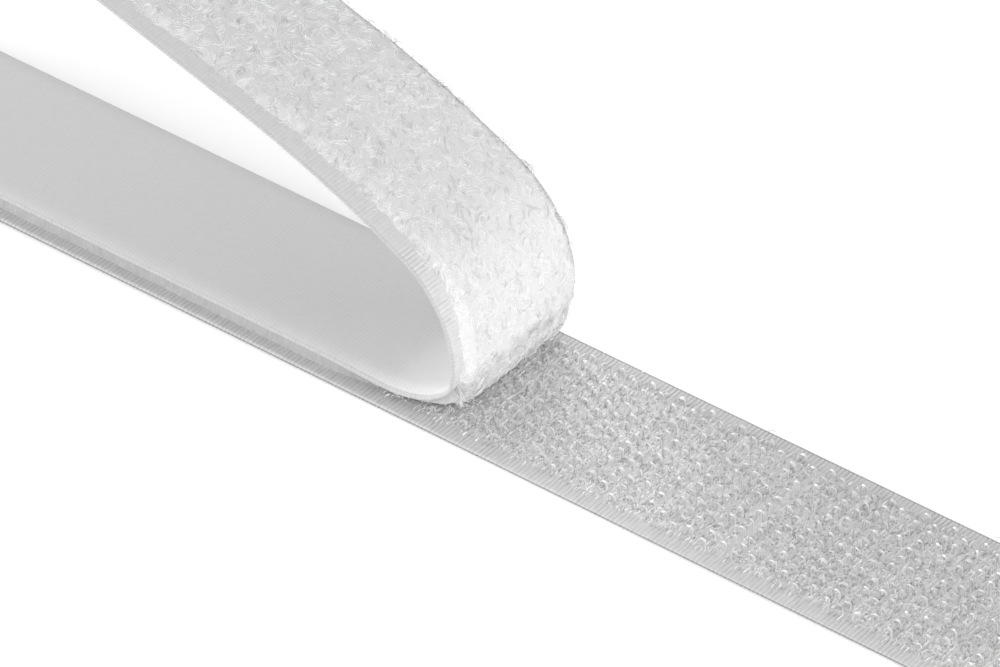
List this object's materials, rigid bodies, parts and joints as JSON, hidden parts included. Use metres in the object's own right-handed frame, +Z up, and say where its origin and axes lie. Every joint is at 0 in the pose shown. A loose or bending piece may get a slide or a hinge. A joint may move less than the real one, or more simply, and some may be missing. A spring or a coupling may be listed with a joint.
{
  "type": "hook and loop tape",
  "caption": "Cut length of hook and loop fastener tape, half open: a flat hook tape with a napped loop tape pressed on one end, peeled near the middle and curled back over itself.",
  "frame": {"origin": "on the surface that the tape lies on, under the middle of the hook tape", "axes": "+X along the tape towards its open right end, +Y across the tape, +Z up from the surface that it lies on"},
  "size_m": [0.15, 0.02, 0.0376],
  "materials": {
    "hook_web": "woven nylon web, matte, with a thin clear back coating",
    "hooks": "translucent white nylon monofilament, glossy",
    "loop_web": "fine woven nylon web, low sheen",
    "loop_pile": "napped curly nylon loops, soft and bright"
  },
  "bodies": {
    "hook_tape": {"hook_web": "hook_web", "hook_field_1": "hooks", "hook_field_2": "hooks", "hook_field_3": "hooks", "hook_field_4": "hooks"},
    "loop_end": {"loop_web_end": "loop_web", "loop_pile_end": "loop_pile"},
    "loop_peel_1": {"loop_web_peel_1": "loop_web", "loop_pile_peel_1": "loop_pile"},
    "loop_peel_2": {"loop_web_peel_2": "loop_web", "loop_pile_peel_2": "loop_pile"},
    "loop_stuck": {"loop_web_stuck": "loop_web", "loop_pile_stuck": "loop_pile"},
    "loop_curl_1": {"loop_web_curl_1": "loop_web", "loop_pile_curl_1": "loop_pile"},
    "loop_curl_2": {"loop_web_curl_2": "loop_web", "loop_pile_curl_2": "loop_pile"},
    "loop_curl_3": {"loop_web_curl_3": "loop_web", "loop_pile_curl_3": "loop_pile"},
    "loop_curl_4": {"loop_web_curl_4": "loop_web", "loop_pile_curl_4": "loop_pile"},
    "loop_curl_5": {"loop_web_curl_5": "loop_web", "loop_pile_curl_5": "loop_pile"},
    "loop_curl_6": {"loop_web_curl_6": "loop_web", "loop_pile_curl_6": "loop_pile"},
    "loop_curl_7": {"loop_web_curl_7": "loop_web", "loop_pile_curl_7": "loop_pile"},
    "loop_curl_8": {"loop_web_curl_8": "loop_web", "loop_pile_curl_8": "loop_pile"},
    "loop_curl_9": {"loop_web_curl_9": "loop_web", "loop_pile_curl_9": "loop_pile"},
    "loop_curl_10": {"loop_web_curl_10": "loop_web", "loop_pile_curl_10": "loop_pile"},
    "loop_tail": {"loop_web_tail": "loop_web", "loop_pile_tail": "loop_pile"}
  },
  "joints": [
    {"name": "loop_lift", "type": "slide", "parent": "hook_tape", "child": "loop_end", "axis": [0, 0, 1], "range_m": [0, 0.02]},
    {"name": "peel_front_1", "type": "hinge", "parent": "loop_end", "child": "loop_peel_1", "pos_m": [-0.048, 0, 0.00295], "axis": [0, -1, 0], "range_deg": [0, 15]},
    {"name": "peel_front_2", "type": "hinge", "parent": "loop_peel_1", "child": "loop_peel_2", "pos_m": [-0.043, 0, 0.00295], "axis": [0, -1, 0], "range_deg": [0, 15]},
    {"name": "peel_front_3", "type": "hinge", "parent": "loop_peel_2", "child": "loop_stuck", "pos_m": [-0.038, 0, 0.00295], "axis": [0, -1, 0], "range_deg": [0, 15]},
    {"name": "lift_hinge_1", "type": "hinge", "parent": "loop_stuck", "child": "loop_curl_1", "pos_m": [-0.001, 0, 0.00295], "axis": [0, 1, 0], "range_deg": [-1.2, 15]},
    {"name": "lift_hinge_2", "type": "hinge", "parent": "loop_curl_1", "child": "loop_curl_2", "pos_m": [0.00286, 0, 0.00399], "axis": [0, 1, 0], "range_deg": [-1.21, 15.01]},
    {"name": "bend_hinge_1", "type": "hinge", "parent": "loop_curl_2", "child": "loop_curl_3", "pos_m": [0.00507, 0, 0.00526], "axis": [0, 1, 0], "range_deg": [-1.52, 19]},
    {"name": "bend_hinge_2", "type": "hinge", "parent": "loop_curl_3", "child": "loop_curl_4", "pos_m": [0.00579, 0, 0.00609], "axis": [0, 1, 0], "range_deg": [-1.53, 19.01]},
    {"name": "bend_hinge_3", "type": "hinge", "parent": "loop_curl_4", "child": "loop_curl_5", "pos_m": [0.00621, 0, 0.00711], "axis": [0, 1, 0], "range_deg": [-1.53, 19.01]},
    {"name": "rise_hinge_1", "type": "hinge", "parent": "loop_curl_5", "child": "loop_curl_6", "pos_m": [0.00632, 0, 0.00938], "axis": [0, 1, 0], "range_deg": [-1.28, 16]},
    {"name": "rise_hinge_2", "type": "hinge", "parent": "loop_curl_6", "child": "loop_curl_7", "pos_m": [0.00555, 0, 0.01274], "axis": [0, 1, 0], "range_deg": [-1.29, 16.01]},
    {"name": "rise_hinge_3", "type": "hinge", "parent": "loop_curl_7", "child": "loop_curl_8", "pos_m": [0.00388, 0, 0.01576], "axis": [0, 1, 0], "range_deg": [-1.29, 16.01]},
    {"name": "rise_hinge_4", "type": "hinge", "parent": "loop_curl_8", "child": "loop_curl_9", "pos_m": [0.00144, 0, 0.0182], "axis": [0, 1, 0], "range_deg": [-1.29, 16.01]},
    {"name": "sweep_hinge_1", "type": "hinge", "parent": "loop_curl_9", "child": "loop_curl_10", "pos_m": [-0.00477, 0, 0.02164], "axis": [0, 1, 0], "range_deg": [-0.48, 6]},
    {"name": "sweep_hinge_2", "type": "hinge", "parent": "loop_curl_10", "child": "loop_tail", "pos_m": [-0.01467, 0, 0.02584], "axis": [0, 1, 0], "range_deg": [-0.49, 6.01]}
  ],
  "couplings": [
    {"joint": "peel_front_2", "follows": "peel_front_1", "ratio": 1},
    {"joint": "peel_front_3", "follows": "peel_front_1", "ratio": 1},
    {"joint": "lift_hinge_2", "follows": "lift_hinge_1", "ratio": 1},
    {"joint": "bend_hinge_2", "follows": "bend_hinge_1", "ratio": 1},
    {"joint": "bend_hinge_3", "follows": "bend_hinge_1", "ratio": 1},
    {"joint": "rise_hinge_2", "follows": "rise_hinge_1", "ratio": 1},
    {"joint": "rise_hinge_3", "follows": "rise_hinge_1", "ratio": 1},
    {"joint": "rise_hinge_4", "follows": "rise_hinge_1", "ratio": 1},
    {"joint": "sweep_hinge_2", "follows": "sweep_hinge_1", "ratio": 1}
  ]
}
